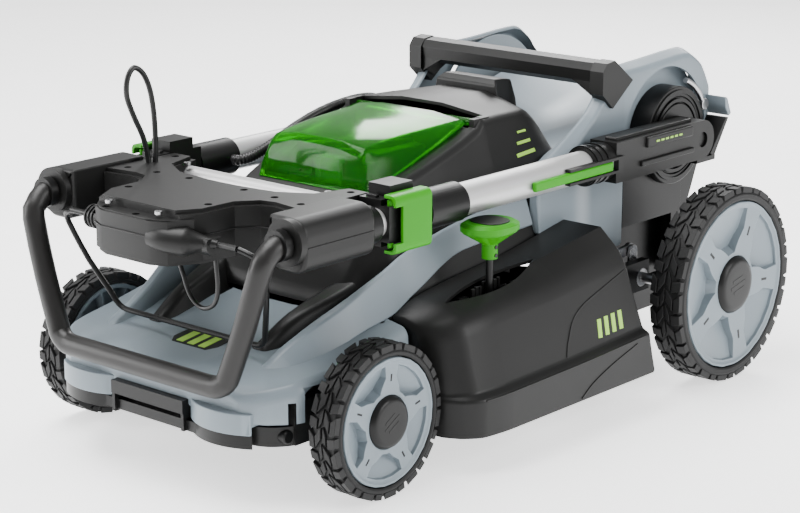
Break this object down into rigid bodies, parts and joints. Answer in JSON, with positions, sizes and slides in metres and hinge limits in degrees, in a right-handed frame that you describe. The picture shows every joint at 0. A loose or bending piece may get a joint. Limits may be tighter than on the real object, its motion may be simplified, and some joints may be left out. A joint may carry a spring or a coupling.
{
  "type": "push lawn mower",
  "caption": "Battery rotary push mower with its telescopic handle folded forward, clear lid over the battery, lever for cutting height and four treaded wheels.",
  "frame": {"origin": "on the ground, under the middle of the outline of the mower", "axes": "front towards -Y, the left side of the mower towards +X, up +Z"},
  "size_m": [0.538, 0.82, 0.3969],
  "materials": {
    "dark_plastic": "fine textured charcoal",
    "pale_plastic": "satin blue grey",
    "black_plastic": "satin black",
    "green_plastic": "bright green",
    "clear_green": "clear green tint",
    "aluminium": "satin anodised",
    "steel": "zinc plated",
    "tyre": "black tread",
    "foam": "foam grip",
    "cable_rubber": "satin black jacket"
  },
  "bodies": {
    "chassis": {"deck_shell": "dark_plastic", "nose_cover": "pale_plastic", "bumper_bar": "black_plastic", "motor_hood": "dark_plastic", "rear_shell": "pale_plastic", "rear_frame": "black_plastic", "carry_handle": "dark_plastic", "handle_mounts": "black_plastic", "height_gate": "black_plastic", "motor_stator": "aluminium", "bearings": "steel", "motor_controller": "black_plastic", "battery_pack": "black_plastic", "motor_bolts": "steel", "door_hinge_rod": "steel"},
    "rear_crank": {"rear_axle": "steel"},
    "front_crank": {"front_axle": "steel"},
    "height_link": {"link_rod": "steel"},
    "height_lever": {"lever_stem": "black_plastic", "lever_grip": "green_plastic"},
    "blade_unit": {"blade_rotor": "steel", "blade": "steel", "blade_bolt": "steel"},
    "lid": {"battery_lid": "clear_green"},
    "latch": {"battery_latch": "green_plastic"},
    "door": {"rear_door": "dark_plastic"},
    "lower_handle": {"outer_tube_left": "aluminium", "outer_tube_right": "aluminium", "bracket_left": "dark_plastic", "bracket_right": "dark_plastic", "clamp_bodies": "black_plastic", "conduit": "cable_rubber"},
    "upper_handle": {"inner_tubes": "aluminium", "end_housing_left": "dark_plastic", "end_housing_right": "dark_plastic", "cross_tube": "aluminium", "switch_box_top": "dark_plastic", "switch_box_base": "dark_plastic", "grip_loop": "foam", "box_screws": "steel", "cable_loop": "cable_rubber", "switch_cable": "cable_rubber"},
    "clamp_left": {"clamp_lever_left": "green_plastic"},
    "clamp_right": {"clamp_lever_right": "green_plastic"},
    "release_left": {"angle_latch_left": "green_plastic"},
    "release_right": {"angle_latch_right": "green_plastic"},
    "bail_bar": {"bail": "black_plastic"},
    "button": {"start_button": "green_plastic"},
    "wheel_front_left": {"tyre_front_left": "tyre", "rim_front_left": "pale_plastic", "cap_front_left": "black_plastic"},
    "wheel_front_right": {"tyre_front_right": "tyre", "rim_front_right": "pale_plastic", "cap_front_right": "black_plastic"},
    "wheel_rear_left": {"tyre_rear_left": "tyre", "rim_rear_left": "pale_plastic", "cap_rear_left": "black_plastic"},
    "wheel_rear_right": {"tyre_rear_right": "tyre", "rim_rear_right": "pale_plastic", "cap_rear_right": "black_plastic"}
  },
  "joints": [
    {"name": "height_adjust", "type": "hinge", "parent": "chassis", "child": "rear_crank", "pos_m": [0, 0.237, 0.114], "axis": [1, 0, 0], "range_deg": [-26, 26]},
    {"name": "front_crank_turn", "type": "hinge", "parent": "chassis", "child": "front_crank", "pos_m": [0, -0.312, 0.08], "axis": [1, 0, 0], "range_deg": [-26, 26]},
    {"name": "link_turn", "type": "hinge", "parent": "rear_crank", "child": "height_link", "pos_m": [0.1455, 0.237, 0.144], "axis": [1, 0, 0], "range_deg": [-26, 26]},
    {"name": "lever_turn", "type": "hinge", "parent": "chassis", "child": "height_lever", "pos_m": [0.189, -0.075, 0.104], "axis": [1, 0, 0], "range_deg": [-30, 30]},
    {"name": "rear_left_spin", "type": "hinge", "parent": "rear_crank", "child": "wheel_rear_left", "pos_m": [0.244, 0.282, 0.114], "axis": [1, 0, 0], "continuous": true},
    {"name": "front_left_spin", "type": "hinge", "parent": "front_crank", "child": "wheel_front_left", "pos_m": [0.202, -0.267, 0.08], "axis": [1, 0, 0], "continuous": true},
    {"name": "rear_right_spin", "type": "hinge", "parent": "rear_crank", "child": "wheel_rear_right", "pos_m": [-0.244, 0.282, 0.114], "axis": [1, 0, 0], "continuous": true},
    {"name": "front_right_spin", "type": "hinge", "parent": "front_crank", "child": "wheel_front_right", "pos_m": [-0.202, -0.267, 0.08], "axis": [1, 0, 0], "continuous": true},
    {"name": "blade_spin", "type": "hinge", "parent": "chassis", "child": "blade_unit", "pos_m": [0, -0.005, 0.062], "axis": [0, 0, 1], "continuous": true},
    {"name": "lid_hinge", "type": "hinge", "parent": "chassis", "child": "lid", "pos_m": [0, 0.026, 0.318], "axis": [-1, 0, 0], "range_deg": [0, 75]},
    {"name": "latch_press", "type": "slide", "parent": "chassis", "child": "latch", "axis": [0, -1, 0], "range_m": [0, 0.005], "stiffness_N_per_m": 400},
    {"name": "door_hinge", "type": "hinge", "parent": "chassis", "child": "door", "pos_m": [0, 0.392, 0.254], "axis": [1, 0, 0], "range_deg": [0, 70], "stiffness_Nm_per_rad": 0.5, "springref_deg": -28.65},
    {"name": "handle_fold", "type": "hinge", "parent": "chassis", "child": "lower_handle", "pos_m": [0, 0.322, 0.267], "axis": [-1, 0, 0], "range_deg": [0, 130]},
    {"name": "handle_extend", "type": "slide", "parent": "lower_handle", "child": "upper_handle", "axis": [0, -1, 0], "range_m": [0, 0.18]},
    {"name": "clamp_left_turn", "type": "hinge", "parent": "lower_handle", "child": "clamp_left", "pos_m": [0.181, -0.222, 0.267], "axis": [0, 0, -1], "range_deg": [0, 100]},
    {"name": "clamp_right_turn", "type": "hinge", "parent": "lower_handle", "child": "clamp_right", "pos_m": [-0.181, -0.222, 0.267], "axis": [0, 0, 1], "range_deg": [0, 100]},
    {"name": "release_left_slide", "type": "slide", "parent": "lower_handle", "child": "release_left", "axis": [0, -1, 0], "range_m": [0, 0.008], "stiffness_N_per_m": 500},
    {"name": "release_right_slide", "type": "slide", "parent": "lower_handle", "child": "release_right", "axis": [0, -1, 0], "range_m": [0, 0.008], "stiffness_N_per_m": 500},
    {"name": "bail_pull", "type": "hinge", "parent": "upper_handle", "child": "bail_bar", "pos_m": [0, -0.375, 0.261], "axis": [-1, 0, 0], "range_deg": [0, 22], "stiffness_Nm_per_rad": 0.4, "springref_deg": -20.05},
    {"name": "button_press", "type": "slide", "parent": "upper_handle", "child": "button", "axis": [0, 0, 1], "range_m": [0, 0.004], "stiffness_N_per_m": 300}
  ],
  "couplings": [
    {"joint": "front_crank_turn", "follows": "height_adjust", "ratio": 1},
    {"joint": "link_turn", "follows": "height_adjust", "ratio": -1},
    {"joint": "lever_turn", "follows": "height_adjust", "ratio": 1.15}
  ]
}
